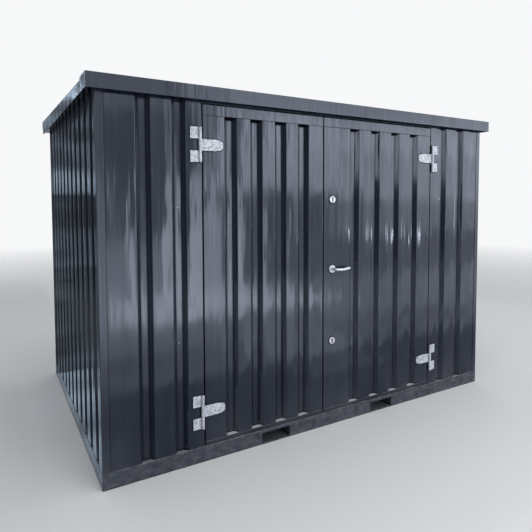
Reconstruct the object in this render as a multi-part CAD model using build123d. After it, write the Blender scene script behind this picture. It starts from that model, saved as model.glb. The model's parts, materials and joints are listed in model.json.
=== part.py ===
from build123d import *

import math
import os

# Flat-pack steel storage container: a galvanised and painted frame on a base with fork
# pockets, walls of grooved sheet, a low pitched roof and a pair of doors on the long side.
# Millimetres. The front faces -Y, +X is to the right seen from the front, +Z is up.
# The origin is under the middle of the container's whole box, on the ground.

# Walls, outside
width = 2960.0
depth = 2070.0

# Sheet metal: thicknesses, inside bend radii and the clearance between pieces
sheet_t = 1.5
frame_t = 2.5
rail_t = 3.0
trim_t = 2.0
sheet_bend = 1.5
sharp_bend = 0.5
seat = 0.3

# Grooves pressed into the wall sheet
groove_mouth = 82.0
groove_floor = 36.0
groove_depth = 28.0
side_groove_pitch = 181.4
back_groove_pitch = 184.0
front_groove_outer = 238.0
front_groove_inner = 432.0
left_door_pitch = 168.0
right_door_pitch = 185.0
hinge_strip = 172.0
left_lock_strip = 145.0
right_lock_strip = 240.0

# Base frame and floor
rail_height = 92.0
rail_width = 75.0
mitre_gap = 0.4
pocket_width = 200.0
pocket_low = 6.0
pocket_high = 72.0
pocket_offset = 437.0
floor_t = 15.0
floor_clearance = 3.0
joist_width = 40.0
joist_offsets = (0.0, 780.0, 1130.0)

# Corner posts and the angle trims that cover the wall corners
trim_leg = 40.0
post_size = 40.0
post_gap = 0.5

# Top frame and roof
frame_top = 2066.0
top_rail_height = 46.0
roof_rise = 47.0
roof_sheet_t = 1.0
rib_height = 20.0
rib_crest = 40.0
rib_foot = 70.0
rib_count = 16
gutter_width = 12.0
purlin_height = 50.0
purlin_width = 40.0
purlin_count = 3

# Roof edges
fascia_gap = 8.0
fascia_height = 78.0
fascia_drip = 15.0
fascia_flange = 20.0
front_overhang = 47.0
side_overhang = 48.0
back_overhang = 62.0
fascia_return = 120.0
verge_lip = 40.0
back_web_rise = 66.0

# Doorway and doors
jamb_offset = 565.0
jamb_width = 50.0
stop_offset = 48.0
stop_reach = 25.0
stop_t = 2.0
door_gap = 6.0
head_gap = 6.0
meeting_gap = 7.5
meeting_x = -76.75
leaf_depth = 38.0
head_cap_height = 60.0
foot_cap_height = 20.0
cap_t = 1.5
door_rail_count = 4
door_rail_height = 40.0

# Hinges
hinge_setback = 12.0
hinge_stand_off = 10.0
knuckle_radius = 9.0
pin_radius = 4.0
pin_clearance = 0.1
knuckle_length = 196.0
knuckle_gap = 0.5
hinge_plate_t = 4.0
hinge_leaf_reach = 56.0
strap_reach = 140.0
strap_taper = 46.0
strap_chamfer = 10.0
strap_end_height = 50.0
strap_tip_height = 32.0
strap_relief = 1.0
lower_hinge_height = 299.5
upper_hinge_drop = 227.5

# Lock and lever handle
lock_inset = 66.0
lever_height = 1061.0
upper_lock_height = 1524.0
lower_lock_height = 577.0
handle_rose_radius = 26.0
lock_rose_radius = 23.0
rose_t = 8.0
rose_chamfer = 2.0
neck_clearance = 0.5
lever_stand_off = 48.0
lever_length = 118.0
lever_radius = 9.5
lever_bend = 15.0
lever_return = 26.0
lever_sag = 3.0
lever_rise = 3.0
lever_sag_bend = 120.0
spindle_size = 8.0
spindle_hole = 7.0
lock_case_width = 70.0
lock_case_t = 27.5
lock_case_height = 220.0
small_case_height = 120.0

# Key cylinders, with the usual round and web outline
cylinder_radius = 8.5
cylinder_web = 10.0
cylinder_height = 33.0
cylinder_proud = 2.0
cylinder_clearance = 0.3
key_slot_width = 2.4
key_slot_height = 9.0
key_slot_depth = 8.0

# Places worked out from the sizes above
left = -width / 2
right = width / 2
lap = trim_t
lever_reach = lever_stand_off + lever_radius - lap
front = -(depth + back_overhang - lever_reach) / 2
back = front + depth
wall_depth = lap + groove_depth + sheet_t
post_inset = wall_depth + post_gap
slope = roof_rise / (depth - 2 * post_inset)
door_low = rail_height + door_gap
door_high = frame_top - head_gap
left_jamb = left + jamb_offset
right_jamb = right - jamb_offset
joist_top = pocket_high + rail_t
inside_rail = rail_t + sharp_bend
eaves_height = frame_top + top_rail_height
fascia_low = frame_top + fascia_gap
soffit_height = fascia_low + fascia_drip
back_web_low = fascia_low + back_web_rise
upper_hinge_height = door_high - upper_hinge_drop
plug_rise = cylinder_height / 2 - cylinder_radius


def roof_under(y):
    """Height of the roof sheet's flat pans, underneath, at a place along Y."""
    return eaves_height + slope * (y - front - post_inset)


def under_roof(sheet):
    """A wall sheet cut to the roof's fall."""
    outline = [(front, 0), (back, 0), (back, roof_under(back) - seat), (front, roof_under(front) - seat)]
    return sheet & along_x(polygon(outline), left, right)


def block(x_low, x_high, y_low, y_high, z_low, z_high):
    """A plate or bar between two corners."""
    middle = Pos((x_low + x_high) / 2, (y_low + y_high) / 2, (z_low + z_high) / 2)
    return middle * Box(x_high - x_low, y_high - y_low, z_high - z_low)


def sheet_normals(path):
    """The unit vectors to the left of each stretch of a path."""
    points = [Vector(*point) for point in path]
    stretches = [(end - start).normalized() for start, end in zip(points, points[1:])]
    return [Vector(-along.Y, along.X) for along in stretches]


def sheet_outline(path, thickness):
    """A path and, back again, its parallel to the left at a sheet's thickness."""
    points = [Vector(*point) for point in path]
    normals = sheet_normals(path)
    parallel = [points[0] + normals[0] * thickness]
    for point, before, after in zip(points[1:], normals, normals[1:]):
        parallel.append(point + (before + after) / (1 + before.dot(after)) * thickness)
    parallel.append(points[-1] + normals[-1] * thickness)
    return [(p.X, p.Y) for p in points + parallel[::-1]]


def creased(path, thickness):
    """The face of a folded sheet whose bends are out of sight, so drawn sharp."""
    return polygon(sheet_outline(path, thickness))


def folded(path, thickness, bend=sheet_bend):
    """The face of a folded sheet with round bends."""
    normals = sheet_normals(path)
    path_radii, parallel_radii = [0.0], [0.0]
    for before, after in zip(normals, normals[1:]):
        turn = (before.X * after.Y - before.Y * after.X) * thickness
        path_radii.append(bend + abs(thickness) if turn > 0 else bend)
        parallel_radii.append(bend if turn > 0 else bend + abs(thickness))
    radii = path_radii + [0.0, 0.0] + parallel_radii[:0:-1] + [0.0]
    return make_face(FilletPolyline(*sheet_outline(path, thickness), radius=radii, close=True))


def polygon(outline):
    """A face with straight sides."""
    return make_face(Polyline(*outline, close=True))


def along_x(face, x_low, x_high):
    """A bar whose face is drawn in Y and Z."""
    return extrude(Plane.YZ.offset(x_low) * face, x_high - x_low, dir=(1, 0, 0))


def along_y(face, y_low, y_high, rise=0.0):
    """A bar whose face is drawn in X and Z, and which climbs by rise on its way."""
    plane = Plane((0, y_low, 0), x_dir=(1, 0, 0), z_dir=(0, -1, 0))
    run = Vector(0, y_high - y_low, rise)
    return extrude(plane * face, run.length, dir=run.normalized())


def along_z(face, z_low, z_high):
    """A post or sheet whose face is drawn in X and Y."""
    return extrude(Plane.XY.offset(z_low) * face, z_high - z_low, dir=(0, 0, 1))


def square_tube(x_low, x_high, y_low, y_high, z_low, z_high, wall):
    """An upright tube, open at its ends."""
    outside = block(x_low, x_high, y_low, y_high, z_low, z_high)
    return outside - block(x_low + wall, x_high - wall, y_low + wall, y_high - wall, z_low, z_high)


def grooved(start, end, centres):
    """The path of a grooved sheet: distance along the wall, and distance into it."""
    path = [(start, 0.0)]
    for centre in centres:
        path.append((centre - groove_mouth / 2, 0.0))
        path.append((centre - groove_floor / 2, groove_depth))
        path.append((centre + groove_floor / 2, groove_depth))
        path.append((centre + groove_mouth / 2, 0.0))
    path.append((end, 0.0))
    return path


def spread(length, pitch):
    """Groove centres at a pitch about the middle of a wall."""
    count = int((length - groove_mouth - trim_leg) / pitch) + 1
    return [length / 2 + (i - (count - 1) / 2) * pitch for i in range(count)]


def mitred(bar, corners):
    """A rail cut to its plan, which is mitred at the container's corners."""
    return bar & along_z(polygon(corners), 0, rail_height)


def long_rail(wall_y, inward):
    """The front or back base rail, with the two fork pockets cut through its web."""
    path = [(wall_y + inward * rail_width, 0), (wall_y, 0), (wall_y, rail_height)]
    path.append((wall_y + inward * rail_width, rail_height))
    rail = along_x(folded(path, -inward * rail_t, sharp_bend), left, right)
    inner = wall_y + inward * rail_width
    plan = [(left + mitre_gap, wall_y), (right - mitre_gap, wall_y)]
    plan += [(right - mitre_gap - rail_width, inner), (left + mitre_gap + rail_width, inner)]
    rail = mitred(rail, plan)
    for pocket_x in (-pocket_offset, pocket_offset):
        low_y, high_y = sorted((wall_y - inward, wall_y + inward * rail_t * 2))
        half = pocket_width / 2
        rail -= block(pocket_x - half, pocket_x + half, low_y, high_y, pocket_low, pocket_high)
    return rail


def short_rail(wall_x, inward):
    """The left or right base rail."""
    inner = wall_x + inward * rail_width
    path = [(inner, 0), (wall_x, 0), (wall_x, rail_height), (inner, rail_height)]
    rail = along_y(folded(path, -inward * rail_t, sharp_bend), front, back)
    plan = [(wall_x, front + mitre_gap), (wall_x, back - mitre_gap)]
    plan += [(inner, back - mitre_gap - rail_width), (inner, front + mitre_gap + rail_width)]
    return mitred(rail, plan)


def fork_tunnel(pocket_x):
    """The rectangular tube between the pockets of the front and back rails."""
    half = pocket_width / 2
    y_low, y_high = front + inside_rail, back - inside_rail
    x_low, x_high = pocket_x - half - rail_t, pocket_x + half + rail_t
    outside = block(x_low, x_high, y_low, y_high, pocket_low - rail_t, joist_top)
    return outside - block(pocket_x - half, pocket_x + half, y_low, y_high, pocket_low, pocket_high)


def joist(x):
    """A channel across the base that carries the floor."""
    half = joist_width / 2
    path = [(x + half, rail_t), (x - half, rail_t), (x - half, joist_top), (x + half, joist_top)]
    return along_y(creased(path, -frame_t), front + inside_rail, back - inside_rail)


def floor_joists():
    places = sorted({side * offset for offset in joist_offsets for side in (-1, 1)})
    return [joist(x) for x in places]


def floor_deck():
    """The floor sheet, which lies on the joists and tunnels inside the base rails."""
    margin = rail_width + floor_clearance
    return block(left + margin, right - margin, front + margin, back - margin, joist_top, joist_top + floor_t)


def corner_post(x_side, y_side):
    """A square post that stands on the base rails behind the wall sheets."""
    x_near, x_far = sorted((x_side * (right - post_inset), x_side * (right - post_inset - post_size)))
    middle = (front + back) / 2
    y_outer = middle + y_side * (depth / 2 - post_inset)
    y_near, y_far = sorted((y_outer, y_outer - y_side * post_size))
    return square_tube(x_near, x_far, y_near, y_far, rail_height, frame_top, frame_t)


def corner_trims():
    """The outer angles over the four wall corners."""
    trims = []
    for x_side in (-1, 1):
        for y_wall, y_in in ((front, 1), (back, -1)):
            x_wall = x_side * right
            path = [(x_wall - x_side * trim_leg, y_wall), (x_wall, y_wall), (x_wall, y_wall + y_in * trim_leg)]
            turn = x_side * y_in
            trims.append(along_z(folded(path, turn * trim_t, sharp_bend), rail_height, soffit_height))
    return trims


def jamb(x_edge, outward):
    """The upright tube beside the doorway."""
    x_low, x_high = sorted((x_edge + outward * sheet_t, x_edge + outward * (sheet_t + jamb_width)))
    y_low = front + lap + sheet_t + sheet_bend
    return square_tube(x_low, x_high, y_low, front + stop_offset, rail_height, frame_top, frame_t)


def door_stop():
    """The flat strips behind the doors, beside, over and under the doorway."""
    y_low, y_high = front + stop_offset, front + stop_offset + stop_t
    strips = []
    for x_edge, outward in ((left_jamb, -1), (right_jamb, 1)):
        x_low, x_high = sorted((x_edge - outward * stop_reach, x_edge + outward * (sheet_t + jamb_width)))
        strips.append(block(x_low, x_high, y_low, y_high, rail_height, frame_top))
    x_low, x_high = left_jamb + stop_reach + seat, right_jamb - stop_reach - seat
    flange = front + post_inset + post_size
    path = [(flange, frame_top), (y_low, frame_top), (y_low, frame_top - stop_reach)]
    strips.append(along_x(creased(path, stop_t), x_low, x_high))
    path = [(front + rail_width, rail_height), (y_low, rail_height), (y_low, rail_height + stop_reach)]
    strips.append(along_x(creased(path, -stop_t), x_low, x_high))
    return strips


def front_wall(side):
    """A fixed panel beside the doorway, folded back round the jamb."""
    start = lap + sheet_t + seat
    path = grooved(start, jamb_offset, (front_groove_outer, front_groove_inner))
    path.append((jamb_offset, stop_offset - lap))
    points = [(-side * (left + u), front + lap + v) for u, v in path]
    panel = under_roof(along_z(folded(points, -side * sheet_t), rail_height, back_web_low))
    x_low, x_high = sorted((-side * (left_jamb - sheet_t), -side * left_jamb))
    y_high = front + stop_offset
    return panel - block(x_low, x_high, front + wall_depth, y_high, frame_top - seat, back_web_low)


def side_wall(x_side):
    """The grooved sheet of a short side."""
    start = lap + sheet_t + seat
    path = grooved(start, depth - start, spread(depth, side_groove_pitch))
    points = [(x_side * (right - lap - v), front + u) for u, v in path]
    sheet = along_z(creased(points, x_side * sheet_t), rail_height, back_web_low + roof_rise)
    return under_roof(sheet)


def back_wall():
    start = lap + sheet_t + seat
    path = grooved(start, width - start, spread(width, back_groove_pitch))
    points = [(left + u, back - lap - v) for u, v in path]
    return under_roof(along_z(creased(points, -sheet_t), rail_height, back_web_low + roof_rise))


def door_head():
    """The strip over the doors that closes the wall up to the roof."""
    x_low, x_high = left_jamb + seat, right_jamb - seat
    y_low, y_high = front + lap, front + wall_depth
    path = [(y_high, frame_top), (y_low, frame_top), (y_low, roof_under(y_low) - seat)]
    return along_x(creased(path, -sheet_t), x_low, x_high)


def long_top_rail(outer, inward):
    """The channel along the front or back, under the roof sheet."""
    inner = outer + inward * post_size
    top = roof_under(min(outer, inner)) - seat
    path = [(inner, frame_top), (outer, frame_top), (outer, top), (inner, top)]
    return along_x(creased(path, -inward * frame_t), left + post_inset, right - post_inset)


def side_top_rail(x_side):
    """The angle along a short side, whose upright leg climbs with the roof."""
    x_web, x_in = x_side * (right - post_inset), -x_side
    y_low, y_high = front + post_inset + post_size + seat, back - post_inset - post_size - seat
    web_low, web_high = sorted((x_web, x_web + x_in * frame_t))
    outline = [(y_low, frame_top), (y_high, frame_top)]
    outline += [(y_high, roof_under(y_high) - seat), (y_low, roof_under(y_low) - seat)]
    web = along_x(polygon(outline), web_low, web_high)
    leg_low, leg_high = sorted((x_web, x_web + x_in * post_size))
    return web + block(leg_low, leg_high, y_low, y_high, frame_top, frame_top + frame_t)


def purlins():
    """Channels from side to side under the roof sheet."""
    bars = []
    reach = right - post_inset - frame_t
    for i in range(purlin_count):
        y = front + depth * (i + 1) / (purlin_count + 1)
        top = roof_under(y - purlin_width / 2) - seat
        path = [(y + purlin_width / 2, top - purlin_height), (y - purlin_width / 2, top - purlin_height)]
        path += [(y - purlin_width / 2, top), (y + purlin_width / 2, top)]
        bars.append(along_x(creased(path, -frame_t), -reach, reach))
    return bars


def roof_sheet():
    """Ribbed sheet that falls from the back to the gutter at the front."""
    y_low = front - front_overhang + sheet_t + gutter_width
    y_high = back + back_overhang - sheet_t - sheet_bend
    z = roof_under(y_low)
    half = right + side_overhang - sheet_t - seat
    path = [(-half, z)]
    for i in range(rib_count):
        x = left + width * i / (rib_count - 1)
        path.append((x - rib_foot / 2, z))
        path.append((x - rib_crest / 2, z + rib_height))
        path.append((x + rib_crest / 2, z + rib_height))
        path.append((x + rib_foot / 2, z))
    path.append((half, z))
    return along_y(creased(path, roof_sheet_t), y_low, y_high, slope * (y_high - y_low))


def crest(y):
    """Height of the roof edge trims' lips, just over the sheet's ribs."""
    return roof_under(y) + roof_sheet_t + rib_height + seat


def fascia_front():
    """The front board: a gutter whose face hangs below it as a hem, with a return round each corner."""
    outer = front - front_overhang
    hem = outer + 2 * sheet_t
    wall = front + lap
    top = fascia_low + fascia_height
    path = [(wall, soffit_height + fascia_flange), (wall, soffit_height), (hem, soffit_height), (hem, fascia_low)]
    x_edge = right + side_overhang
    board = along_x(folded(path, -sheet_t), -x_edge, x_edge)
    board += block(-x_edge, x_edge, outer, outer + sheet_t, fascia_low, top)
    for side in (-1, 1):
        x_low, x_high = sorted((side * x_edge, side * (x_edge - sheet_t)))
        board += block(x_low, x_high, outer, front + fascia_return, fascia_low, top)
        x_low, x_high = sorted((side * x_edge, side * (right - lap)))
        y_far = front + fascia_return
        board += block(x_low, x_high, wall, y_far, soffit_height, soffit_height + sheet_t)
    return board


def verge_trim(side):
    """The side roof edge: level below, climbing with the roof above, cut away at the back."""
    y_low = front + fascia_return + seat
    y_high = back + back_overhang
    x_edge = side * (right + side_overhang)
    x_low, x_high = sorted((x_edge, x_edge - side * sheet_t))
    outline = [(y_low, fascia_low), (back, fascia_low), (y_high, back_web_low)]
    outline += [(y_high, crest(y_high) + sheet_t), (y_low, crest(y_low) + sheet_t)]
    trim = along_x(polygon(outline), x_low, x_high)
    x_low, x_high = sorted((x_edge, x_edge - side * verge_lip))
    lip = [(y_low, crest(y_low)), (y_high, crest(y_high))]
    lip += [(y_high, crest(y_high) + sheet_t), (y_low, crest(y_low) + sheet_t)]
    trim += along_x(polygon(lip), x_low, x_high)
    x_low, x_high = sorted((x_edge, side * (right - lap)))
    return trim + block(x_low, x_high, y_low, back - lap, soffit_height, soffit_height + sheet_t)


def fascia_back():
    """The drip edge at the back, with a plate that slants down to the wall."""
    outer = back + back_overhang
    top = crest(outer) + sheet_t
    wall = back - lap + sheet_t + seat
    path = [(outer - verge_lip, top), (outer, top), (outer, back_web_low), (wall, soffit_height)]
    reach = right + side_overhang - sheet_t - seat
    lip_cut = right + side_overhang - verge_lip - seat
    board = along_x(folded(path, -sheet_t), -reach, reach)
    for side in (-1, 1):
        x_low, x_high = sorted((side * lip_cut, side * (reach + 1)))
        lip_under = crest(outer - verge_lip) - seat
        board -= block(x_low, x_high, outer - verge_lip, outer, lip_under, top)
    return board


def door_grooves(x_hinge, x_meet, pitch, lock_strip):
    """As many grooves as fit between the plain strips at the hinges and at the lock."""
    room = abs(x_meet - x_hinge) - hinge_strip - lock_strip
    inward = math.copysign(1, x_meet - x_hinge)
    return sorted(x_hinge + inward * (hinge_strip + i * pitch) for i in range(int(room / pitch) + 1))


def door_skin(low, high, centres):
    """A door's sheet, with its grooves and its folded edges."""
    path = [(low, leaf_depth)] + grooved(low, high, centres) + [(high, leaf_depth)]
    points = [(x, front + lap + v) for x, v in path]
    inside_cap = cap_t + sheet_bend
    return along_z(folded(points, sheet_t), door_low + inside_cap, door_high - inside_cap)


def door_caps(x_low, x_high):
    """The channels over the top and foot of a door's sheet."""
    y_low, y_high = front + lap, front + lap + leaf_depth
    head = [(y_high, door_high - head_cap_height), (y_high, door_high - cap_t)]
    head += [(y_low, door_high - cap_t), (y_low, door_high - head_cap_height)]
    foot = [(y_low, door_low + foot_cap_height), (y_low, door_low + cap_t)]
    foot += [(y_high, door_low + cap_t), (y_high, door_low + foot_cap_height)]
    return [along_x(folded(path, -cap_t), x_low, x_high) for path in (head, foot)]


def door_rails(x_low, x_high, groove_back):
    """Flat tubes across the back of a door."""
    y_high = front + lap + leaf_depth
    bars = []
    half = door_rail_height / 2
    step = (upper_hinge_height - lower_hinge_height) / (door_rail_count - 1)
    for i in range(door_rail_count):
        z = lower_hinge_height + i * step
        bar = block(x_low + sheet_t, x_high - sheet_t, groove_back, y_high, z - half, z + half)
        hollow = block(
            x_low, x_high, groove_back + sheet_t, y_high - sheet_t, z - half + sheet_t, z + half - sheet_t
        )
        bars.append(bar - hollow)
    return bars


def knuckle(x, y, z_low, z_high):
    """One length of a hinge's rolled barrel."""
    return Pos(x, y, (z_low + z_high) / 2) * Cylinder(knuckle_radius, z_high - z_low)


def hinge_leaves(x, y, outward, z):
    """The jamb half of a hinge: two small leaves and the pin between them."""
    third = knuckle_length / 3
    z_low, z_high = z - knuckle_length / 2, z + knuckle_length / 2
    plate_y = front + lap
    piece = Pos(x, y, z) * Cylinder(pin_radius, knuckle_length)
    for low, high in ((z_low, z_low + third - knuckle_gap), (z_high - third + knuckle_gap, z_high)):
        x_low, x_high = sorted((x, x + outward * hinge_leaf_reach))
        leaf = block(x_low, x_high, plate_y - hinge_plate_t, plate_y, low, high)
        piece += knuckle(x, y, low, high) + leaf
    return piece


def hinge_strap(x, y, inward, z):
    """The door half of a hinge: a tapered strap from the middle of the barrel."""
    half = knuckle_length / 6
    plate_y = front + lap
    end = strap_reach - strap_chamfer
    profile = [(0, half), (strap_reach - strap_taper, half), (end, strap_end_height / 2)]
    profile.append((strap_reach, strap_tip_height / 2))
    outline = [(x + inward * u, z + v) for u, v in profile]
    outline += [(x + inward * u, z - v) for u, v in reversed(profile)]
    strap = along_y(polygon(outline), plate_y - hinge_plate_t, plate_y)
    x_low, x_high = sorted((x, x + inward * (hinge_setback + door_gap / 2)))
    strap -= block(x_low, x_high, plate_y - strap_relief, plate_y, z - half, z + half)
    bore = Pos(x, y, z) * Cylinder(pin_radius + pin_clearance, knuckle_length)
    return strap + knuckle(x, y, z - half, z + half) - bore


def disc(x, z, radius, y_low, y_high):
    """A round plate or bar whose axis runs front to back."""
    return Pos(x, (y_low + y_high) / 2, z) * Rot(90, 0, 0) * Cylinder(radius, y_high - y_low)


def rose(x, z, radius, y_face, outward):
    """A round plate with a chamfered rim, on a face of the door."""
    y_low, y_high = sorted((y_face, y_face + outward * rose_t))
    plate = disc(x, z, radius, y_low, y_high)
    rims = plate.edges().filter_by(GeomType.CIRCLE).sort_by(Axis.Y)
    return chamfer(rims[0] if outward < 0 else rims[-1], rose_chamfer)


def cylinder_bar(x, z, y_low, y_high, clearance=0.0):
    """A bar with a key cylinder's outline about its middle, or the hole for one."""
    plug_z = z + plug_rise
    half = cylinder_web / 2 + clearance
    low = z - cylinder_height / 2 - clearance
    plug = disc(x, plug_z, cylinder_radius + clearance, y_low, y_high)
    return plug + block(x - half, x + half, y_low, y_high, low, plug_z)


def lever(x, z, y_face, outward):
    """A round bar lever: out of the rose, along in a shallow sag, and back towards the door."""
    start = y_face + outward * seat
    bar_y = y_face + outward * lever_stand_off
    middle_x = x + lever_length / 2
    end_x = x + lever_length
    path = FilletPolyline(
        (x, start, z),
        (x, bar_y, z),
        (middle_x, bar_y, z - lever_sag),
        (end_x, bar_y, z + lever_rise),
        (end_x, bar_y - outward * lever_return, z + lever_rise),
        radius=(lever_bend, lever_sag_bend, lever_bend),
    )
    section = Plane(origin=(x, start, z), z_dir=(0, outward, 0)) * Circle(lever_radius)
    return sweep(section, path=path)


def save(name, shape):
    """Write one node."""
    solids = shape if isinstance(shape, list) else [shape]
    export_step(Compound(children=[s for item in solids for s in item.solids()]), f"parts/{name}.step")


os.makedirs("parts", exist_ok=True)

save("base_rail_front", long_rail(front, 1))
save("base_rail_back", long_rail(back, -1))
save("base_rail_left", short_rail(left, 1))
save("base_rail_right", short_rail(right, -1))
save("fork_tunnels", [fork_tunnel(-pocket_offset), fork_tunnel(pocket_offset)])
save("floor_joists", floor_joists())
save("floor_deck", floor_deck())
save("corner_posts", [corner_post(x_side, y_side) for x_side in (-1, 1) for y_side in (-1, 1)])
save("corner_trims", corner_trims())
save("door_jamb_left", jamb(left_jamb, -1))
save("door_jamb_right", jamb(right_jamb, 1))
save("door_stop", door_stop())
save("door_head", door_head())
save("front_wall_left", front_wall(-1))
save("front_wall_right", front_wall(1))
save("side_wall_left", side_wall(-1))
save("side_wall_right", side_wall(1))
save("back_wall", back_wall())
save("top_rail_front", long_top_rail(front + post_inset, 1))
save("top_rail_back", long_top_rail(back - post_inset, -1))
save("top_rail_left", side_top_rail(-1))
save("top_rail_right", side_top_rail(1))
save("roof_purlins", purlins())
save("roof_sheet", roof_sheet())
save("fascia_front", fascia_front())
save("fascia_back", fascia_back())
save("verge_trim_left", verge_trim(-1))
save("verge_trim_right", verge_trim(1))

y_face = front + lap
groove_back = front + wall_depth
case_front = y_face + sheet_t
case_back = case_front + lock_case_t
hinge_y = y_face - hinge_stand_off
hinge_heights = (lower_hinge_height, upper_hinge_height)
left_meeting = meeting_x - meeting_gap / 2
right_meeting = meeting_x + meeting_gap / 2
lock_x = right_meeting + lock_inset
lock_heights = (lower_lock_height, upper_lock_height)
neck_hole = lever_radius + neck_clearance

left_edge = left_jamb + door_gap
left_grooves = door_grooves(left_edge, left_meeting, left_door_pitch, left_lock_strip)
save("left_door_skin", door_skin(left_edge, left_meeting, left_grooves))
save("left_door_caps", door_caps(left_edge, left_meeting))
save("left_door_rails", door_rails(left_edge, left_meeting, groove_back))

right_edge = right_jamb - door_gap
right_grooves = door_grooves(right_edge, right_meeting, right_door_pitch, right_lock_strip)
skin = door_skin(right_meeting, right_edge, right_grooves)
skin -= disc(lock_x, lever_height, neck_hole, front, case_front)
for z in lock_heights:
    skin -= cylinder_bar(lock_x, z, front, case_front, cylinder_clearance)
save("right_door_skin", skin)
save("right_door_caps", door_caps(right_meeting, right_edge))
save("right_door_rails", door_rails(right_meeting, right_edge, groove_back))

for side, x, outward in (("left", left_jamb - hinge_setback, -1), ("right", right_jamb + hinge_setback, 1)):
    save(f"{side}_hinge_straps", [hinge_strap(x, hinge_y, -outward, z) for z in hinge_heights])
    save(f"{side}_hinge_leaves", [hinge_leaves(x, hinge_y, outward, z) for z in hinge_heights])

case_low, case_high = lock_x - lock_case_width / 2, lock_x + lock_case_width / 2
half = lock_case_height / 2
case = block(case_low, case_high, case_front, case_back, lever_height - half, lever_height + half)
lock_cases = [case - disc(lock_x, lever_height, spindle_hole, case_front, case_back)]
lock_roses = []
cylinders = []
half = small_case_height / 2
for z in lock_heights:
    hole = cylinder_bar(lock_x, z, y_face - rose_t, case_back + rose_t, cylinder_clearance)
    lock_cases.append(block(case_low, case_high, case_front, case_back, z - half, z + half) - hole)
    for y_rose, outward in ((y_face, -1), (case_back, 1)):
        lock_roses.append(rose(lock_x, z, lock_rose_radius, y_rose, outward) - hole)
    y_low, y_high = y_face - rose_t - cylinder_proud, case_back + rose_t + cylinder_proud
    bar = cylinder_bar(lock_x, z, y_low, y_high)
    x_low, x_high = lock_x - key_slot_width / 2, lock_x + key_slot_width / 2
    z_low, z_high = z + plug_rise - key_slot_height / 2, z + plug_rise + key_slot_height / 2
    for slot_low, slot_high in ((y_low, y_low + key_slot_depth), (y_high - key_slot_depth, y_high)):
        bar -= block(x_low, x_high, slot_low, slot_high, z_low, z_high)
    cylinders.append(bar)
save("lock_cases", lock_cases)
save("lock_roses", lock_roses)
save("key_cylinders", cylinders)

neck = disc(lock_x, lever_height, neck_hole, y_face - rose_t, case_back + rose_t)
handle_roses = []
for y_rose, outward in ((y_face, -1), (case_back, 1)):
    handle_roses.append(rose(lock_x, lever_height, handle_rose_radius, y_rose, outward) - neck)
save("handle_roses", handle_roses)
save("lever_outside", lever(lock_x, lever_height, y_face, -1))
save("lever_inside", lever(lock_x, lever_height, case_back, 1))
half = spindle_size / 2
y_low, y_high = y_face - seat, case_back + seat
spindle = block(lock_x - half, lock_x + half, y_low, y_high, lever_height - half, lever_height + half)
save("lever_spindle", spindle)
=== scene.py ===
import json
import math

import bmesh
import bpy
from mathutils import Matrix, Vector


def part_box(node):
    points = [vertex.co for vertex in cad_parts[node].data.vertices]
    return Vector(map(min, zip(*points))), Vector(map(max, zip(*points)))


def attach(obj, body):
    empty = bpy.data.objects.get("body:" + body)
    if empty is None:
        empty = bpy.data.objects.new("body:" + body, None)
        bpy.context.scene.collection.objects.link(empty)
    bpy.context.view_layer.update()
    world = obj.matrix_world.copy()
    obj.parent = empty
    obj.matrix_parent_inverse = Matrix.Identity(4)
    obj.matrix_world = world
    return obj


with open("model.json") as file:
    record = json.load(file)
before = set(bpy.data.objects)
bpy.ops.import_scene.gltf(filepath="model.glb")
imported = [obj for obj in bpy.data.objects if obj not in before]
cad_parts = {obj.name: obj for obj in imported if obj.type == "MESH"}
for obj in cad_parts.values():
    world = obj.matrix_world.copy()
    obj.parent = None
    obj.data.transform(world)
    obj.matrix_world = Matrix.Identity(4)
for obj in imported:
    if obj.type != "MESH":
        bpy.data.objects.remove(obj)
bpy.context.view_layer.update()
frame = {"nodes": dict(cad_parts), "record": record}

# Camera: solved from the photograph's straight edges, in the part's own frame
CAMERA_PLACE = Vector((-1.9444, -3.6843, 1.5281))
CAMERA_YAW = math.radians(31.96)
CAMERA_PITCH = math.radians(3.10)
CAMERA_LENS = 33.33
CAMERA_SENSOR = 36.0
CAMERA_SHIFT = (-0.0557, -0.0760)

# Colours, linear
PAINT_DARK = (0.010, 0.014, 0.024)
PAINT_LIGHT = (0.018, 0.023, 0.036)
PAINT_TINT = (0.88, 0.93, 1.0)
# Painted shade: the paint's colour in its inner folds and on its undersides
PAINTED_SHADE = (0.002, 0.002, 0.003)
DUST = (0.52, 0.54, 0.58)
ZINC_DARK = (0.25, 0.27, 0.31)
ZINC_LIGHT = (0.60, 0.63, 0.68)
ZINC_DIRT = (0.20, 0.20, 0.19)
STEEL_DARK = (0.42, 0.44, 0.48)
STEEL_LIGHT = (0.70, 0.72, 0.76)
NICKEL_DARK = (0.12, 0.12, 0.12)
NICKEL_LIGHT = (0.20, 0.20, 0.19)
BOARD_DARK = (0.10, 0.065, 0.040)
BOARD_LIGHT = (0.22, 0.145, 0.085)
FLOOR = (0.78, 0.79, 0.80)
BACKDROP = (0.93, 0.94, 0.95)
CARD = (0.02, 0.02, 0.02)
CARD_LIGHT = (0.86, 0.90, 1.0)
SIDE_LIGHT = (0.62, 0.79, 1.0)
WORLD_LIGHT = (0.95, 0.97, 1.0)

# The axes by number
X, Y, Z = range(3)

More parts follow.
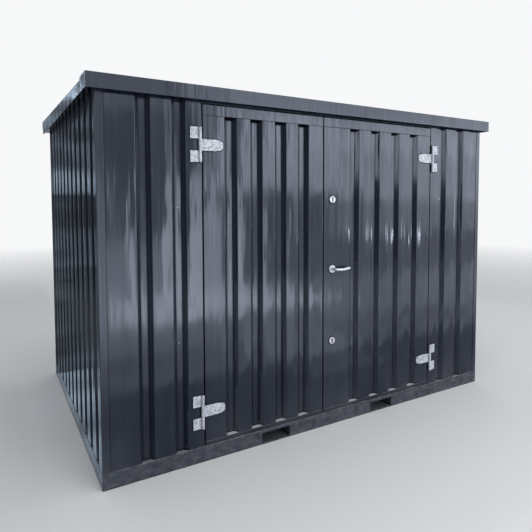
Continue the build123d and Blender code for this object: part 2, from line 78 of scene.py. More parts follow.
# Grain of the textures: how fine it is in every direction, or along x, y and z
PAINT_TONE = (3.52, 3.52, 1.1)
PAINT_STREAKS = (38.0, 38.0, 0.7)
PAINT_SHEEN = (14.0, 14.0, 0.9)
SHEET_WAVES = (9.0, 9.0, 1.4)
SHEET_RIPPLES = (34.0, 34.0, 2.0)
ORANGE_PEEL = 420.0
DUST_SPECKS = 150.0
DUST_PATCHES = 11.0
GRIME_SMEARS = (22.0, 22.0, 40.0)
ZINC_CRYSTALS = 170.0
ZINC_PATCHES = 28.0
ZINC_STAINS = (7.0, 1.1, 7.0)
STEEL_BRUSHING = (60.0, 900.0, 900.0)
STEEL_SMEARS = 45.0
NICKEL_SMEARS = 160.0
WOOD_GRAIN = (3.0, 51.0, 51.0)
BOARD_SCUFFS = 6.0

# The middle of a noise's range, which most materials spread over theirs
MIDDLE = (0.3, 0.7)
NARROW_MIDDLE = (0.35, 0.65)

# Heights of the bumps
WAVE_RISE = 0.005
RIPPLE_RISE = 0.0011
PEEL_RISE = 0.00002
ZINC_RISE = 0.0006
BRUSHING_RISE = 0.00004
TARNISH_RISE = 0.00005
WOOD_RISE = 0.0006

# Roughness of each finish, and how metallic the bare metals are
PAINT_GLOSS = (0.06, 0.15)
DUST_ROUGHNESS = 0.5
ZINC_ROUGHNESS = (0.62, 0.48)
STEEL_ROUGHNESS = (0.22, 0.36)
NICKEL_ROUGHNESS = (0.30, 0.50)
BOARD_ROUGHNESS = (0.45, 0.75)
ZINC_METAL = 0.12
STEEL_METAL = 0.65
NICKEL_METAL = 0.8

# Mirror values of the paint and the zinc
PAINT_IOR = 1.6
PAINT_SPECULAR = 0.5
ZINC_SPECULAR = 0.25

# Share of the paint's even tone beside its streaks, and of the zinc's crystals beside its
# patches
TONE_SHARE = 0.6
CRYSTAL_SHARE = 0.65

# Folds: their radius, and the reach of the painted shade in the inner ones
FOLD_RADIUS = 0.004
CREASE = 0.010
FOLD_SAMPLES = 4

# Painted shade on the paint: how open a fold and how upright a face is from full painted shade
# to none, and how much of the paint's own colour and mirror strength full painted shade leaves
FOLD_OPEN = (0.75, 0.95)
UNDERSIDE = (-0.8, -0.3)
SHADE_LEFT = 0.08

# Dust on the paint: how level a face is from no dust to full dust, the least and most that
# the specks leave, and the heights between which the sills of the door grooves are full of it
LEVEL = (0.55, 0.95)
DUST_COVER = (0.20, 0.95)
SILL_DUST = (0.112, 0.116, 0.124, 0.128)

# Splash from the ground on the paint: the heights where it starts and is full, and its share
SPLASH = (0.32, 0.02, 0.06)

# Sheets that bow a little between their grooves: axis, one groove's middle, pitch, rise,
# and where the bowing starts and ends
BOWED = {
    "left_door_skin": (X, -0.737, 0.168, 0.0035, -0.821, -0.149),
    "right_door_skin": (X, 0.737, 0.185, 0.0030, 0.0895, 0.8295),
    "front_wall_left": (X, -1.242, 0.194, 0.0030, -1.339, -0.951),
    "front_wall_right": (X, 1.048, 0.194, 0.0030, 0.951, 1.339),
    "side_wall_left": (Y, -0.003, 0.1814, 0.0012, -1.0, 1.0),
    "side_wall_right": (Y, -0.003, 0.1814, 0.0025, -1.0, 1.0),
    "back_wall": (X, 0.092, 0.184, 0.0030, -1.4, 1.4),
}

# Painted nodes that are duller than the sheets: roughness, share of lying dust, and grime
DULL = {
    "corner_trims": ((0.16, 0.28), 1.0, 0.0),
    "base_rail_front": ((0.16, 0.30), 1.0, 0.06),
    "base_rail_back": ((0.16, 0.30), 1.0, 0.06),
    "base_rail_left": ((0.16, 0.30), 1.0, 0.06),
    "base_rail_right": ((0.16, 0.30), 1.0, 0.06),
    "door_stop": ((0.55, 0.70), 0.0, 0.0),
    "fork_tunnels": ((0.60, 0.80), 0.30, 0.0),
    "floor_joists": ((0.50, 0.70), 0.20, 0.0),
}

# Planes that the cards stand in: the far hedge, the ground, and the fields left and behind
HEDGE = -6.0
GROUND = 0.004
LEFT = -6.5
BACK = 7.0

# What the gloss paint mirrors: name, radiance, the axis that the card stands across, its
# place on it, and its two other ranges. Nearer cards hide those behind.
CARDS = (
    ("far", 0.8, Y, HEDGE - 0.3, (-3.0, 10.0), (0.0, 6.0)),
    ("left_hedge", 0.5, Y, HEDGE - 0.2, (-3.0, 1.2), (1.0, 2.9)),
    ("left_sky", 1.2, Y, HEDGE - 0.2, (-3.0, 1.0), (2.9, 6.0)),
    ("sky_edge", 2.5, Y, HEDGE - 0.2, (0.95, 1.4), (1.95, 6.0)),
    ("haze", 1.6, Y, HEDGE - 0.1, (3.6, 10.0), (0.8, 1.6)),
    ("sky", 4.0, Y, HEDGE, (1.4, 3.6), (1.68, 2.5)),
    ("right_sky", 2.8, Y, HEDGE, (3.6, 10.0), (1.5, 2.5)),
    ("high_sky", 4.3, Y, HEDGE, (1.4, 3.6), (2.5, 3.05)),
    ("far_sky", 3.8, Y, HEDGE, (3.6, 10.0), (2.5, 3.05)),
    ("top_sky", 2.6, Y, HEDGE, (1.4, 10.0), (3.05, 6.0)),
    ("tree", 1.9, Y, HEDGE + 0.1, (1.66, 2.05), (2.35, 3.05)),
    ("corner_sky", 3.3, Y, HEDGE, (-1.2, -0.62), (1.15, 1.80)),
    ("gate", 2.1, Y, HEDGE, (-1.2, 0.2), (0.0, 0.88)),
    ("bright_gate", 5.2, Y, HEDGE, (0.2, 1.0), (0.0, 1.05)),
    ("mid_gate", 3.0, Y, HEDGE, (1.0, 1.9), (0.0, 1.35)),
    ("post", 4.2, Y, HEDGE, (0.5, 1.1), (1.05, 1.95)),
    ("glint", 36.0, Y, HEDGE + 0.1, (5.02, 5.20), (0.68, 0.90)),
    ("right_end", 4.5, X, 9.5, (HEDGE, -2.2), (0.3, 5.0)),
    ("yard_edge", 1.4, Z, GROUND, (-1.5, 10.0), (HEDGE, -4.2)),
    ("drive_edge", 2.9, Z, 2 * GROUND, (-1.5, -0.5), (HEDGE, -4.25)),
    ("drive", 4.7, Z, 2 * GROUND, (-0.5, 2.1), (HEDGE, -4.25)),
    ("drive_end", 2.8, Z, 2 * GROUND, (2.1, 2.6), (HEDGE, -4.25)),
    ("yard_far", 1.3, Z, GROUND, (-1.5, 10.0), (-4.2, -3.2)),
    ("yard", 0.8, Z, GROUND, (-1.5, 10.0), (-3.2, -2.3)),
    ("yard_patch", 1.4, Z, 2 * GROUND, (0.3, 1.4), (-3.6, -2.3)),
    ("near_patch", 0.45, Z, 2 * GROUND, (0.3, 1.2), (-2.3, -1.8)),
    ("yard_near", 0.24, Z, GROUND, (-1.5, 10.0), (-2.3, -1.21)),
    ("left_yard", 0.40, Z, GROUND, (-7.0, -1.5), (HEDGE, -1.21)),
    ("front_slab", 0.35, Z, GROUND, (-1.7, 2.0), (-1.21, -1.06)),
    ("flank_low", 0.01, X, LEFT, (-7.0, -1.3), (0.0, 2.0)),
    ("flank_high", 0.01, X, LEFT, (-3.9, -1.3), (2.0, 5.0)),
    ("flank_sky", 2.8, X, LEFT, (-6.2, -3.9), (2.0, 5.0)),
    ("flank_end", 1.6, X, LEFT, (-7.0, -6.2), (2.0, 5.0)),
    ("left_field", 0.30, X, LEFT, (-1.3, 4.0), (0.0, 5.0)),
    ("back_field", 0.55, Y, BACK, (-1.5, 9.0), (0.0, 6.0)),
)

# What the left wall mirrors, banded level: name, radiance, the axis that the card stands
# across, its place on it, and the other two coordinates of its corners
SIDE_CARDS = (
    ("left_slab", 0.52, Z, GROUND, ((-1.735, -1.3), (-1.49, -1.3), (-1.49, 1.0), (-1.78, 1.0))),
    ("left_edge", 0.02, Z, GROUND, ((-2.0, -1.3), (-1.735, -1.3), (-1.78, 1.0), (-2.0, 1.0))),
    ("left_ground", 0.09, Z, GROUND, ((-5.0, -1.3), (-2.0, -1.3), (-2.0, BACK), (-5.0, BACK))),
    ("left_far", 0.12, Z, GROUND, ((-2.0, 1.0), (-1.2, 1.0), (-1.2, BACK), (-2.0, BACK))),
    ("back_low", 0.17, Y, BACK, ((-5.0, 0.0), (-1.5, 0.0), (-1.5, 1.0), (-5.0, 0.8))),
    ("back_dark", 0.03, Y, BACK, ((-5.0, 0.8), (-2.45, 0.9), (-2.40, 1.60), (-5.0, 1.85))),
    ("back_mid", 0.13, Y, BACK, ((-2.45, 0.9), (-1.5, 1.0), (-1.5, 1.65), (-2.40, 1.60))),
    ("back_gap", 0.50, Y, BACK, ((-5.0, 1.85), (-2.40, 1.60), (-1.5, 1.65), (-1.5, 2.0), (-5.0, 2.3))),
    ("back", 0.27, Y, BACK, ((-5.0, 2.30), (-1.5, 2.00), (-1.5, 6.0), (-5.0, 6.0))),
    # The eaves card is near black: mirrored in the top of the left wall, it is painted shade under the
    # verge
    ("eaves", 0.002, Y, BACK - 0.1, ((-4.0, 4.15), (-1.7, 1.85), (-1.7, 2.25), (-4.0, 4.84))),
    ("verge_sky", 0.32, Y, BACK - 0.2, ((-4.0, 4.84), (-1.7, 2.25), (-1.7, 6.0), (-4.0, 6.0))),
    ("verge_glint", 4.0, Y, BACK - 0.3, ((-2.69, 3.5), (-2.56, 3.4), (-2.56, 4.2), (-2.69, 4.2))),
)

# How blotched the cards are: grain of the blotches, and their share of the radiance
CARD_BLOTCHES = ((1.4, 1.4, 1.4), 0.25)
SIDE_BLOTCHES = ((1.2, 1.3, 3.0), 0.95)

# Lamps: place, target, size and power
TOP_LIGHT = ((0.0, -0.5, 6.0), (0.0, 0.0, 0.0), (6.0, 5.0), 122.0)
FRONT_LIGHT = ((1.5, -7.5, 2.5), (0.0, 0.0, 0.8), (5.0, 2.6), 260.0)

# Strength of the even light from all round
WORLD_STRENGTH = 0.5

# Studio floor: radius, sides, roughness, and how far out its fading starts and ends
FLOOR_RADIUS = 16.0
FLOOR_SIDES = 96
FLOOR_ROUGHNESS = 0.8
FLOOR_FADE = (5.0, 14.0)

# The two leaves of the door, and which way is inward from their hinges
SIDES = (("left", 1), ("right", -1))

# Small fasteners: radius and rise
SCREW = (0.0065, 0.0032)
RIVET = (0.004, 0.002)
PIN_END = (0.004, 0.0015)
RIVET_SEGMENTS = 16

# Hinges: thickness of the plates, whole length, radius of the barrels, half the strap's
# height, and how far the two plates of a leaf are from the strap's middle
HINGE_PLATE = 0.004
HINGE_LENGTH = 0.196
KNUCKLE_RADIUS = 0.009
STRAP_HALF = 0.0327
LEAF_OFFSET = 0.0655

# Screws of a leaf's plate and of a strap: how far inward, and how far up
LEAF_SCREWS = ((0.012, -0.018), (0.012, 0.018), (0.034, 0.0))
STRAP_SCREWS = ((0.045, -0.016), (0.045, 0.016), (0.090, 0.0), (0.130, -0.012), (0.130, 0.012))

# Roof: ribs, and the rows of screws over the rails and purlins
ROOF_RIBS = 16
ROOF_SLOPE = 0.0234
ROOF_SCREW_ROWS = (-0.985, -0.514, 0.003, 0.521, 0.98)

# Roof screws: radius and height pairs of the washer and of the hexagonal head on it
ROOF_WASHER = ((0.010, 0.0), (0.008, 0.0012))
ROOF_HEAD = ((0.0055, 0.0012), (0.0055, 0.0034), (0.004675, 0.004))
WASHER_SEGMENTS = 16
HEAD_SIDES = 6

# Grooves of the doors, which folded flaps close under the head cap and over the foot cap
GROOVE_MOUTH = 0.082
GROOVE_FLOOR = 0.036
GROOVE_DEPTH = 0.028
GROOVE_PITCH = {"left": 0.168, "right": 0.185}
HINGE_STRIP = 0.172
DOOR_GROOVES = 4
HEAD_CAP = 0.060
FOOT_CAP = 0.020
SILL_RISE = 0.002
FLAP_RISE = 0.014
FLAP_GAP = 0.001

# Rivets of the fixed front panels: x, z, and depth behind the face
RIVETS = ((-1.050, 0.715, 0.028), (-1.050, 1.483, 0.028), (1.014, 1.527, 0.0))

# A joint in the front board of the roof
JOINT_X = -1.108
JOINT_WIDTH = 0.030
JOINT_RISE = 0.0008


class Surface:
    """A material's node tree, with short calls to add nodes and to join them."""

    def __init__(self, name):
        self.material = bpy.data.materials.new(name)
        self.material.use_nodes = True
        self.nodes = self.material.node_tree.nodes
        self.links = self.material.node_tree.links
        self.shader = self.nodes["Principled BSDF"]
        self.place = self.add("ShaderNodeTexCoord").outputs["Object"]

    def add(self, kind, inputs=None, **settings):
        """A new node with its settings and inputs."""
        node = self.nodes.new(kind)
        for key, value in settings.items():
            setattr(node, key, value)
        for key, value in (inputs or {}).items():
            self.put(node, key, value)
        return node

    def put(self, node, key, value):
        """Links an input to another node's output, or gives it a plain value."""
        socket = node.inputs[key]
        if isinstance(value, bpy.types.NodeSocket):
            self.links.new(value, socket)
        elif hasattr(socket.default_value, "__len__") and len(socket.default_value) == 4:
            socket.default_value = (*value, 1.0)
        else:
            socket.default_value = value

    def set(self, **values):
        """Gives the shader's inputs, named with _ for a space."""
        for key, value in values.items():
            self.put(self.shader, key.replace("_", " "), value)

    def split(self, vector):
        """The three parts of a vector or colour."""
        return self.add("ShaderNodeSeparateXYZ", {0: vector}).outputs

    def facing_up(self):
        """1 where the surface faces up, 0 on a wall and -1 where it faces down."""
        return self.split(self.add("ShaderNodeNewGeometry").outputs["Normal"])[Z]

    def noise(self, grain, detail):
        """A noise texture, whose grain is a number, or three that stretch it along the axes."""
        inputs = {"Vector": self.place, "Scale": grain, "Detail": detail}
        if isinstance(grain, tuple):
            mapping = self.add("ShaderNodeMapping", {"Vector": self.place, "Scale": grain})
            inputs.update({"Vector": mapping.outputs[0], "Scale": 1.0})
        return self.add("ShaderNodeTexNoise", inputs).outputs["Fac"]

    def ranged(self, value, low, high, to_low=0.0, to_high=1.0):
        """A value taken from one range to another, and kept inside it."""
        inputs = {"Value": value, "From Min": low, "From Max": high}
        inputs.update({"To Min": to_low, "To Max": to_high})
        return self.add("ShaderNodeMapRange", inputs).outputs["Result"]

    def maths(self, operation, a, b):
        """One step of arithmetic."""
        return self.add("ShaderNodeMath", {0: a, 1: b}, operation=operation).outputs[0]

    def weighed(self, a, b, share):
        """The sum of two values, of which the first has a share."""
        return self.maths("ADD", self.maths("MULTIPLY", a, share), self.maths("MULTIPLY", b, 1 - share))

    def mixed(self, factor, a, b):
        """A colour between two others."""
        return self.add("ShaderNodeMix", {0: factor, 6: a, 7: b}, data_type="RGBA").outputs[2]

    def bumped(self, height, distance, normal=None):
        """The normal tilted by a height, on top of an earlier normal if one is given."""
        inputs = {"Height": height, "Distance": distance, "Strength": 1.0}
        if normal is not None:
            inputs["Normal"] = normal
        return self.add("ShaderNodeBump", inputs).outputs[0]


def dust_film(s, facing, height, tone, dusty, grime):
    """How much dust covers the paint: lying on level edges, splashed low down, and smeared."""
    speck = s.ranged(s.noise(DUST_SPECKS, 3.0), 0.50, 0.60)
    patch = s.ranged(s.noise(DUST_PATCHES, 3.0), 0.44, 0.62, 0.08, 1.0)
    film = s.ranged(s.maths("MULTIPLY", speck, patch), 0.0, 1.0, *DUST_COVER)
    low, full, fading, high = SILL_DUST
    sill = s.maths("MULTIPLY", s.ranged(height, low, full), s.ranged(height, high, fading))
    level = s.ranged(facing, *LEVEL, 0.0, dusty)
    lying = s.maths("MULTIPLY", level, s.maths("MAXIMUM", film, sill))
    start, end, share = SPLASH
    splash = s.maths("MULTIPLY", s.ranged(height, start, end, 0.0, share), s.ranged(tone, 0.35, 0.7))
    smear = s.ranged(s.noise(GRIME_SMEARS, 4.0), *NARROW_MIDDLE, 0.4 * grime, 1.6 * grime)
    return s.maths("MAXIMUM", lying, s.maths("MAXIMUM", splash, smear))


def sheet_normal(s, along, bow):
    """The normal of thin sheet: round folds, a bow between grooves, waves and orange peel."""
    normal = s.add("ShaderNodeBevel", {"Radius": FOLD_RADIUS}, samples=FOLD_SAMPLES).outputs[0]
    if bow:
        axis, middle, pitch, rise, start, end = bow
        run = s.ranged(along[axis], start, end, start - middle, end - middle)
        turn = s.maths("MULTIPLY", run, 2 * math.pi / pitch)
        crown = s.ranged(s.maths("COSINE", turn, 0.0), -1.0, 1.0, 1.0, 0.0)
        normal = s.bumped(crown, rise, normal)
    normal = s.bumped(s.noise(SHEET_WAVES, 2.0), WAVE_RISE, normal)
    normal = s.bumped(s.noise(SHEET_RIPPLES, 1.0), RIPPLE_RISE, normal)
    return s.bumped(s.noise(ORANGE_PEEL, 1.0), PEEL_RISE, normal)


def anthracite_paint(gloss=PAINT_GLOSS, dusty=1.0, grime=0.0, bow=None):
    """Gloss powder coat on thin sheet: a little wavy, streaked, with dust where it can lie, and with
    painted shade in its inner folds and on its undersides.
    """
    s = Surface("anthracite_paint")
    tone = s.noise(PAINT_TONE, 4.0)
    shade = s.weighed(tone, s.noise(PAINT_STREAKS, 3.0), TONE_SHARE)
    colour = s.mixed(s.ranged(shade, *NARROW_MIDDLE), PAINT_DARK, PAINT_LIGHT)
    facing = s.facing_up()
    along = s.split(s.place)
    dust = dust_film(s, facing, along[Z], tone, dusty, grime)

    # Painted shade: the colour goes dark and the reflection weak in inner folds and on faces that look
    # down
    hollow = s.add("ShaderNodeAmbientOcclusion", {"Distance": CREASE}, samples=FOLD_SAMPLES)
    out_of_fold = s.ranged(hollow.outputs["AO"], *FOLD_OPEN, SHADE_LEFT, 1.0)
    not_under = s.ranged(facing, *UNDERSIDE, SHADE_LEFT, 1.0)
    unshaded = s.maths("MINIMUM", out_of_fold, not_under)
    s.set(Base_Color=s.mixed(dust, s.mixed(unshaded, PAINTED_SHADE, colour), DUST))
    s.set(Specular_IOR_Level=s.maths("MULTIPLY", unshaded, PAINT_SPECULAR))

    sheen = s.ranged(s.noise(PAINT_SHEEN, 4.0), *MIDDLE, *gloss)
    s.set(Roughness=s.maths("ADD", sheen, s.maths("MULTIPLY", dust, DUST_ROUGHNESS)))
    s.set(Normal=sheet_normal(s, along, bow), IOR=PAINT_IOR, Specular_Tint=PAINT_TINT)
    return s.material


def galvanised_steel():
    """Zinc with its spangle: flat crystals of unlike brightness, and duller patches."""
    s = Surface("galvanised_steel")
    cells = {"Vector": s.place, "Scale": ZINC_CRYSTALS, "Randomness": 1.0}
    crystal = s.split(s.add("ShaderNodeTexVoronoi", cells).outputs["Color"])[0]
    patch = s.noise(ZINC_PATCHES, 4.0)
    shade = s.weighed(crystal, patch, CRYSTAL_SHARE)
    zinc = s.mixed(s.ranged(shade, 0.22, 0.78), ZINC_DARK, ZINC_LIGHT)
    stain = s.ranged(s.noise(ZINC_STAINS, 5.0), 0.35, 0.70, 0.30, 0.85)
    dirt = s.maths("MULTIPLY", s.ranged(s.facing_up(), 0.5, 0.95), stain)
    s.set(Base_Color=s.mixed(dirt, zinc, ZINC_DIRT))
    s.set(Roughness=s.ranged(shade, 0.2, 0.8, *ZINC_ROUGHNESS), Normal=s.bumped(patch, ZINC_RISE))
    s.set(Metallic=ZINC_METAL, Specular_IOR_Level=ZINC_SPECULAR)
    return s.material


def stainless_steel():
    """Satin stainless steel with a fine brushed grain."""
    s = Surface("stainless_steel")
    grain = s.noise(STEEL_BRUSHING, 3.0)
    smear = s.noise(STEEL_SMEARS, 3.0)
    s.set(Base_Color=s.mixed(s.ranged(smear, *MIDDLE), STEEL_DARK, STEEL_LIGHT))
    s.set(Roughness=s.ranged(grain, *MIDDLE, *STEEL_ROUGHNESS), Metallic=STEEL_METAL)
    s.set(Normal=s.bumped(grain, BRUSHING_RISE))
    return s.material


def cylinder_nickel():
    """Tarnished nickel of the key cylinders."""
    s = Surface("cylinder_nickel")
    smear = s.noise(NICKEL_SMEARS, 3.0)
    s.set(Base_Color=s.mixed(s.ranged(smear, *MIDDLE), NICKEL_DARK, NICKEL_LIGHT))
    s.set(Roughness=s.ranged(smear, *MIDDLE, *NICKEL_ROUGHNESS), Metallic=NICKEL_METAL)
    s.set(Normal=s.bumped(smear, TARNISH_RISE))
    return s.material


def floor_board():
    """Brown film-faced board with a wood grain under scuffs."""
    s = Surface("floor_board")
    grain = s.noise(WOOD_GRAIN, 6.0)
    scuff = s.noise(BOARD_SCUFFS, 5.0)
    s.set(Base_Color=s.mixed(s.ranged(grain, *MIDDLE), BOARD_DARK, BOARD_LIGHT))
    s.set(Roughness=s.ranged(scuff, *MIDDLE, *BOARD_ROUGHNESS))
    s.set(Normal=s.bumped(grain, WOOD_RISE))
    return s.material


def placed(name, data):
    """A new object of the scene, with a mesh, lamp or camera."""
    thing = bpy.data.objects.new(name, data)
    bpy.context.scene.collection.objects.link(thing)
    return thing


def meshed(name, mesh, material):
    """A new object of the scene, with a bmesh's faces and a material."""
    data = bpy.data.meshes.new(name)
    mesh.to_mesh(data)
    mesh.free()
    data.materials.append(material)
    return placed(name, data)


def piece(name, body, slot, mesh):
    """Turns a bmesh into a piece that rides on a body and has a slot's finish."""
    thing = meshed(name, mesh, finishes[slot])
    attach(thing, body)


def outer_edge(node, inward):
    """The x of a node's edge on the hinge side of its leaf."""
    low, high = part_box(node)
    return low.x if inward > 0 else high.x


def lathe(mesh, place, axis, profile, segments=24):
    """Adds a turned form: a profile of (radius, height) pairs about an axis from a place."""
    turn = Vector((0, 0, 1)).rotation_difference(Vector(axis)).to_matrix()
    rings = []
    for radius, height in profile:
        ring = []
        for i in range(segments):
            angle = 2 * math.pi * i / segments
            point = Vector((radius * math.cos(angle), radius * math.sin(angle), height))
            ring.append(mesh.verts.new(Vector(place) + turn @ point))
        rings.append(ring)
    for low, high in zip(rings, rings[1:]):
        for i in range(segments):
            j = (i + 1) % segments
            mesh.faces.new((low[i], low[j], high[j], high[i])).smooth = segments > HEAD_SIDES
    mesh.faces.new(rings[-1])


def dome(radius, rise, steps=5):
    """The profile of a low domed head, with a small flat at its top."""
    angles = [math.pi / 2 * i / steps for i in range(steps)]
    return [(radius * math.cos(a), rise * math.sin(a)) for a in angles] + [(radius * 0.08, rise)]


def hinge_screws():
    """Domed heads on the leaves and straps of the four hinges."""
    for side, inward in SIDES:
        low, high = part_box(f"{side}_hinge_straps")
        face = high.y - HINGE_PLATE
        barrel = outer_edge(f"{side}_hinge_straps", inward)
        edge = outer_edge(f"{side}_hinge_leaves", inward)
        fixed, moving = bmesh.new(), bmesh.new()
        for centre in (low.z + STRAP_HALF, high.z - STRAP_HALF):
            for z in (centre - LEAF_OFFSET, centre + LEAF_OFFSET):
                for u, v in LEAF_SCREWS:
                    lathe(fixed, (edge + inward * u, face, z + v), (0, -1, 0), dome(*SCREW))
            for u, v in STRAP_SCREWS:
                lathe(moving, (barrel + inward * u, face, centre + v), (0, -1, 0), dome(*SCREW))
        piece(f"{side}_leaf_screws", "root", "galvanised_steel", fixed)
        piece(f"{side}_strap_screws", f"{side}_door", "galvanised_steel", moving)


def pin_ends():
    """The ends of the hinge pins, above and under each barrel."""
    for side, inward in SIDES:
        low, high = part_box(f"{side}_hinge_leaves")
        x = high.x - KNUCKLE_RADIUS if inward > 0 else low.x + KNUCKLE_RADIUS
        y = low.y + KNUCKLE_RADIUS
        ends = bmesh.new()
        for z, up in ((low.z, -1), (low.z + HINGE_LENGTH, 1), (high.z - HINGE_LENGTH, -1), (high.z, 1)):
            lathe(ends, (x, y, z), (0, 0, up), dome(*PIN_END))
        piece(f"{side}_pin_ends", "root", "galvanised_steel", ends)


def panel_rivets():
    """Bare rivets in the fixed front panels."""
    heads = bmesh.new()
    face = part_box("front_wall_left")[0].y
    for x, z, behind in RIVETS:
        lathe(heads, (x, face + behind, z), (0, -1, 0), dome(*RIVET), RIVET_SEGMENTS)
    piece("panel_rivets", "root", "galvanised_steel", heads)


def groove_flaps():
    """Folded flaps that close the door grooves under the head cap and over the foot cap."""
    for side, inward in SIDES:
        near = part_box(f"{side}_door_skin")[0].y + FLAP_GAP
        far = near + GROOVE_DEPTH - 2 * FLAP_GAP
        mouth, floor = GROOVE_MOUTH / 2 - FLAP_GAP, GROOVE_FLOOR / 2 + FLAP_GAP
        edge = outer_edge(f"{side}_door_skin", inward)
        caps_low, caps_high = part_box(f"{side}_door_caps")
        lip, sill = caps_high.z - HEAD_CAP, caps_low.z + FOOT_CAP
        flaps = bmesh.new()
        for i in range(DOOR_GROOVES):
            x = edge + inward * (HINGE_STRIP + i * GROOVE_PITCH[side])
            for front, back in ((lip, lip - FLAP_RISE), (sill, sill + SILL_RISE)):
                outline = [(x - mouth, near, front), (x + mouth, near, front)]
                outline += [(x + floor, far, back), (x - floor, far, back)]
                under = [flaps.verts.new(point) for point in outline]
                over = [flaps.verts.new((*point[:Z], point[Z] + FLAP_GAP)) for point in outline]
                flaps.faces.new(under)
                flaps.faces.new(reversed(over))
                for a, b in ((0, 1), (1, 2), (2, 3), (3, 0)):
                    flaps.faces.new((under[b], under[a], over[a], over[b]))
        bmesh.ops.recalc_face_normals(flaps, faces=flaps.faces)
        piece(f"{side}_groove_flaps", f"{side}_door", "anthracite_paint", flaps)


def fascia_joint():
    """The lap where two lengths of the front board meet."""
    low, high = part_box("fascia_front")
    size = (JOINT_WIDTH, 2 * JOINT_RISE, high.z - low.z - 2 * JOINT_RISE)
    lap = bmesh.new()
    bmesh.ops.create_cube(lap, size=1.0)
    bmesh.ops.scale(lap, vec=size, verts=lap.verts)
    bmesh.ops.translate(lap, vec=(JOINT_X, low.y, (low.z + high.z) / 2), verts=lap.verts)
    piece("fascia_joint", "root", "anthracite_paint", lap)


def roof_screws():
    """Screws with washers through the roof sheet's ribs."""
    heads = bmesh.new()
    trims_low, trims_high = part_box("corner_trims")
    roof_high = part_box("roof_sheet")[1]
    for y in ROOF_SCREW_ROWS:
        z = roof_high.z - (roof_high.y - y) * ROOF_SLOPE
        for i in range(ROOF_RIBS):
            x = trims_low.x + (trims_high.x - trims_low.x) * i / (ROOF_RIBS - 1)
            lathe(heads, (x, y, z), (0, 0, 1), ROOF_WASHER, WASHER_SEGMENTS)
            lathe(heads, (x, y, z), (0, 0, 1), ROOF_HEAD, HEAD_SIDES)
    piece("roof_screws", "root", "galvanised_steel", heads)


finishes = {
    "anthracite_paint": anthracite_paint(),
    "galvanised_steel": galvanised_steel(),
    "stainless_steel": stainless_steel(),
    "cylinder_nickel": cylinder_nickel(),
    "floor_board": floor_board(),
}
for part in frame["record"]["subparts"]:
    name = part["node"]
    finish = finishes[part["material_slot"]]
    if name in BOWED:
        finish = anthracite_paint(bow=BOWED[name])
    elif name in DULL:
        finish = anthracite_paint(*DULL[name])
    for slot in frame["nodes"][name].material_slots:
        slot.material = finish

hinge_screws()
pin_ends()
panel_rivets()
groove_flaps()
fascia_joint()
roof_screws()


def studio_floor():
    """A pale floor that fades into the backdrop well away from the object."""
    mesh = bmesh.new()
    bmesh.ops.create_circle(mesh, cap_ends=True, segments=FLOOR_SIDES, radius=FLOOR_RADIUS)
    s = Surface("studio_floor")
    s.set(Base_Color=FLOOR, Roughness=FLOOR_ROUGHNESS)
    away = s.add("ShaderNodeVectorMath", {0: s.place}, operation="LENGTH").outputs["Value"]
    s.set(Alpha=s.ranged(away, *FLOOR_FADE, 1.0, 0.0))
    meshed("studio_floor", mesh, s.material)


def card(name, radiance, axis, place, corners, light, blotches):
    """A glowing card, which is no lamp and which only mirror rays meet: a painted reflection in the
    gloss paint and the metals.
    """
    mesh = bmesh.new()
    points = [(*corner[:axis], place, *corner[axis:]) for corner in corners]
    mesh.faces.new([mesh.verts.new(point) for point in points])
    s = Surface(f"card_{name}")
    s.set(Base_Color=CARD, Roughness=1.0, Emission_Color=light)
    grain, spread = blotches
    low, high = (1 - spread) * radiance, (1 + spread) * radiance
    s.set(Emission_Strength=s.ranged(s.noise(grain, 3.0), *MIDDLE, low, high))
    thing = meshed(f"card_{name}", mesh, s.material)
    thing.visible_camera = False
    thing.visible_diffuse = False
    thing.visible_transmission = False
    thing.visible_shadow = False


def mirrored_cards():
    """The cards in front of the doors, and those beside the left wall."""
    for name, radiance, axis, place, across, along in CARDS:
        corners = [(across[a], along[b]) for a, b in ((0, 0), (1, 0), (1, 1), (0, 1))]
        card(name, radiance, axis, place, corners, CARD_LIGHT, CARD_BLOTCHES)
    for name, radiance, axis, place, corners in SIDE_CARDS:
        card(name, radiance, axis, place, corners, SIDE_LIGHT, SIDE_BLOTCHES)


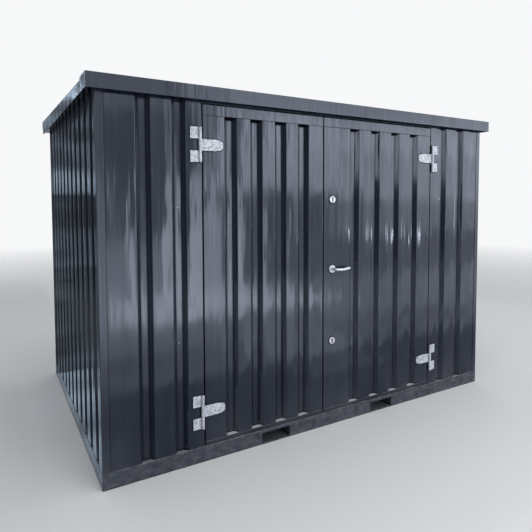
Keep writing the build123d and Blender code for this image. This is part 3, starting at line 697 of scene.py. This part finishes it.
def softbox(name, place, target, size, power):
    """A large soft lamp that the camera doesn't see."""
    lamp = bpy.data.lights.new(name, "AREA")
    lamp.shape = "RECTANGLE"
    lamp.size, lamp.size_y = size
    lamp.energy = power
    thing = placed(name, lamp)
    thing.location = place
    thing.rotation_euler = (Vector(target) - Vector(place)).to_track_quat("-Z", "Y").to_euler()
    thing.visible_camera = False
    return thing


def studio_world():
    """An even light from all round, which camera and mirror rays see as the pale backdrop."""
    world = bpy.data.worlds.new("studio")
    bpy.context.scene.world = world
    world.use_nodes = True
    nodes, links = world.node_tree.nodes, world.node_tree.links
    shown = nodes["Background"]
    shown.inputs["Color"].default_value = (*BACKDROP, 1.0)
    lit = nodes.new("ShaderNodeBackground")
    lit.inputs["Color"].default_value = (*WORLD_LIGHT, 1.0)
    lit.inputs["Strength"].default_value = WORLD_STRENGTH
    path = nodes.new("ShaderNodeLightPath")
    seen = path.outputs["Is Camera Ray"]
    for ray in ("Is Glossy Ray", "Is Transmission Ray"):
        either = nodes.new("ShaderNodeMath")
        either.operation = "MAXIMUM"
        links.new(seen, either.inputs[0])
        links.new(path.outputs[ray], either.inputs[1])
        seen = either.outputs[0]
    mix = nodes.new("ShaderNodeMixShader")
    links.new(seen, mix.inputs[0])
    links.new(lit.outputs[0], mix.inputs[1])
    links.new(shown.outputs[0], mix.inputs[2])
    links.new(mix.outputs[0], nodes["World Output"].inputs["Surface"])


def camera():
    """The photograph's camera."""
    data = bpy.data.cameras.new("camera")
    data.sensor_width = CAMERA_SENSOR
    data.lens = CAMERA_LENS
    data.shift_x, data.shift_y = CAMERA_SHIFT
    thing = placed("camera", data)
    level = math.cos(CAMERA_PITCH)
    ahead = Vector((math.sin(CAMERA_YAW) * level, math.cos(CAMERA_YAW) * level, -math.sin(CAMERA_PITCH)))
    across = Vector((math.cos(CAMERA_YAW), -math.sin(CAMERA_YAW), 0.0))
    turn = Matrix((across, across.cross(ahead), -ahead)).transposed()
    thing.matrix_world = Matrix.Translation(CAMERA_PLACE) @ turn.to_4x4()
    bpy.context.scene.camera = thing


studio_floor()
studio_world()
softbox("top_light", *TOP_LIGHT)
softbox("front_light", *FRONT_LIGHT).visible_glossy = False
mirrored_cards()
camera()
bpy.context.scene.view_settings.view_transform = "Standard"
